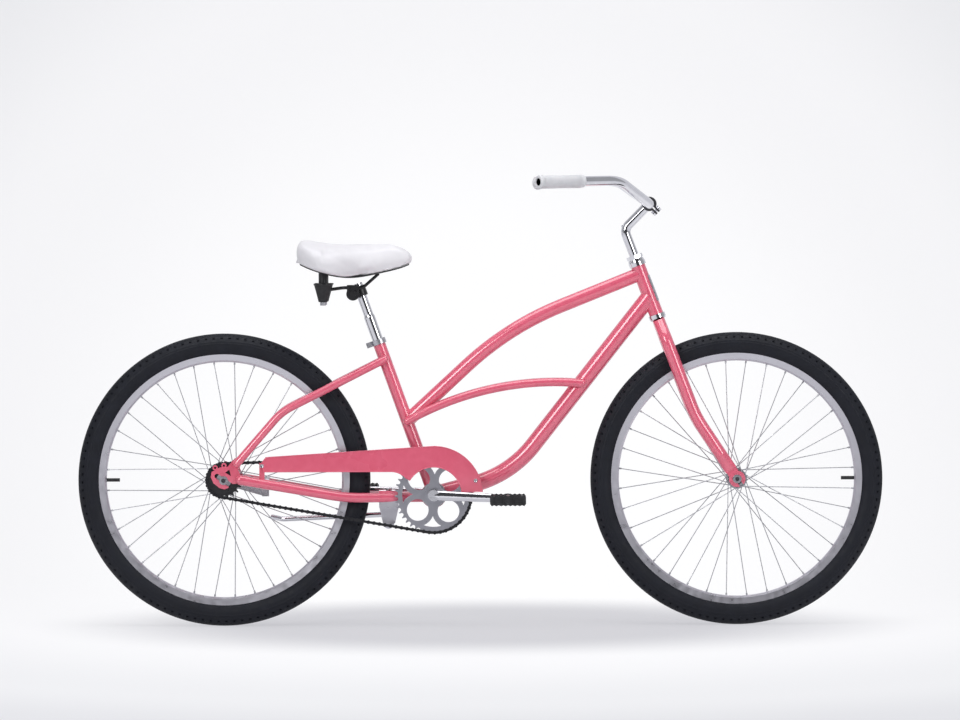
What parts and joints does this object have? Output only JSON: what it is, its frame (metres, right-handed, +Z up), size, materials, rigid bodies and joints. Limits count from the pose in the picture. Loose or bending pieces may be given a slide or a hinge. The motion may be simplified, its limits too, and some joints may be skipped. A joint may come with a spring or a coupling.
{
  "type": "beach cruiser bicycle",
  "caption": "Step-through beach cruiser bicycle with curved tubes, wide tyres, swept-back handlebar, sprung saddle, chain guard and coaster brake.",
  "frame": {"origin": "on the ground, midway between the two axles, in the middle plane", "axes": "+X forward, +Y to the rider's left, +Z up"},
  "size_m": [1.8274, 0.6484, 1.0212],
  "materials": {
    "pink_paint": "gloss pink paint",
    "chrome": "bright chrome plate",
    "steel": "plain zinc-plated steel",
    "alloy": "satin alloy",
    "black_metal": "satin black",
    "black_plastic": "moulded black",
    "black_rubber": "matt black rubber",
    "tyre": "matt black rubber",
    "white_grip": "soft white",
    "white_vinyl": "smooth white vinyl"
  },
  "bodies": {
    "frame": {"head_tube": "pink_paint", "top_tube": "pink_paint", "down_tube": "pink_paint", "seat_tube": "pink_paint", "bottom_bracket_shell": "pink_paint", "side_tubes": "pink_paint", "chainstays": "pink_paint", "seatstays": "pink_paint", "rear_dropouts": "pink_paint", "headset_cups": "chrome", "bearing_balls": "steel", "seat_clamp": "steel", "bottom_bracket_cups": "steel", "chain_guard": "pink_paint", "chain_guard_fittings": "pink_paint", "kickstand_bracket": "alloy", "rear_axle": "steel", "rear_axle_nuts": "steel", "brake_arm": "steel", "brake_arm_strap": "steel", "coaster_brake_shoes": "steel", "chain": "black_metal", "head_badge": "steel"},
    "fork": {"steerer_tube": "steel", "fork_blades": "pink_paint", "fork_dropouts": "pink_paint", "headset_races": "chrome", "front_axle": "steel", "front_axle_nuts": "steel"},
    "stem": {"stem": "chrome", "stem_expander": "chrome"},
    "handlebar": {"handlebar": "chrome", "grip_right": "white_grip", "grip_left": "white_grip"},
    "front_wheel": {"front_tyre": "tyre", "front_inner_tube": "black_rubber", "front_rim": "alloy", "front_spokes": "steel", "front_hub": "steel"},
    "rear_wheel": {"rear_tyre": "tyre", "rear_inner_tube": "black_rubber", "rear_rim": "alloy", "rear_spokes": "steel", "rear_hub": "steel"},
    "driver": {"hub_driver": "steel", "rear_cog": "black_metal"},
    "crank": {"crank": "chrome", "chainring": "steel", "crank_cones": "steel", "pedal_axles": "steel"},
    "pedal_right": {"pedal_right": "black_plastic"},
    "pedal_left": {"pedal_left": "black_plastic"},
    "kickstand": {"kickstand_leg": "chrome"},
    "seatpost": {"seatpost": "chrome", "saddle_clamp": "black_metal"},
    "saddle": {"saddle_discs": "black_metal", "saddle_rails": "black_metal", "saddle_springs": "black_rubber", "saddle_base": "black_plastic", "saddle_cushion": "white_vinyl"}
  },
  "joints": [
    {"name": "steering", "type": "hinge", "parent": "frame", "child": "fork", "pos_m": [0.40099, 0, 0.70476], "axis": [-0.3518, 0, 0.9361], "range_deg": [-80, 80]},
    {"name": "stem_height", "type": "slide", "parent": "fork", "child": "stem", "axis": [-0.3518, 0, 0.9361], "range_m": [-0.03, 0.02]},
    {"name": "handlebar_roll", "type": "hinge", "parent": "stem", "child": "handlebar", "pos_m": [0.38552, 0, 0.95558], "axis": [0, 1, 0], "range_deg": [-20, 20]},
    {"name": "front_wheel_spin", "type": "hinge", "parent": "fork", "child": "front_wheel", "pos_m": [0.5817, 0, 0.332], "axis": [0, 1, 0], "continuous": true},
    {"name": "rear_wheel_spin", "type": "hinge", "parent": "frame", "child": "rear_wheel", "pos_m": [-0.5817, 0, 0.332], "axis": [0, 1, 0], "continuous": true},
    {"name": "crank_turn", "type": "hinge", "parent": "frame", "child": "crank", "pos_m": [-0.10583, 0, 0.297], "axis": [0, 1, 0], "continuous": true, "deforming": ["chain"]},
    {"name": "driver_turn", "type": "hinge", "parent": "frame", "child": "driver", "pos_m": [-0.5817, 0, 0.332], "axis": [0, 1, 0], "continuous": true},
    {"name": "pedal_right_spin", "type": "hinge", "parent": "crank", "child": "pedal_right", "pos_m": [0.062, -0.074, 0.28938], "axis": [0, 1, 0], "continuous": true},
    {"name": "pedal_left_spin", "type": "hinge", "parent": "crank", "child": "pedal_left", "pos_m": [-0.27365, 0.074, 0.30462], "axis": [0, 1, 0], "continuous": true},
    {"name": "kickstand_swing", "type": "hinge", "parent": "frame", "child": "kickstand", "pos_m": [-0.20783, 0.03, 0.24], "axis": [-0.057, -0.8889, -0.4546], "range_deg": [0, 117]},
    {"name": "seatpost_height", "type": "slide", "parent": "frame", "child": "seatpost", "axis": [-0.3387, 0, 0.9409], "range_m": [-0.04, 0.03]},
    {"name": "saddle_tilt", "type": "hinge", "parent": "seatpost", "child": "saddle", "pos_m": [-0.28814, 0, 0.75321], "axis": [0, 1, 0], "range_deg": [-10, 10]}
  ],
  "couplings": [
    {"joint": "driver_turn", "follows": "crank_turn", "ratio": 2.2105}
  ]
}
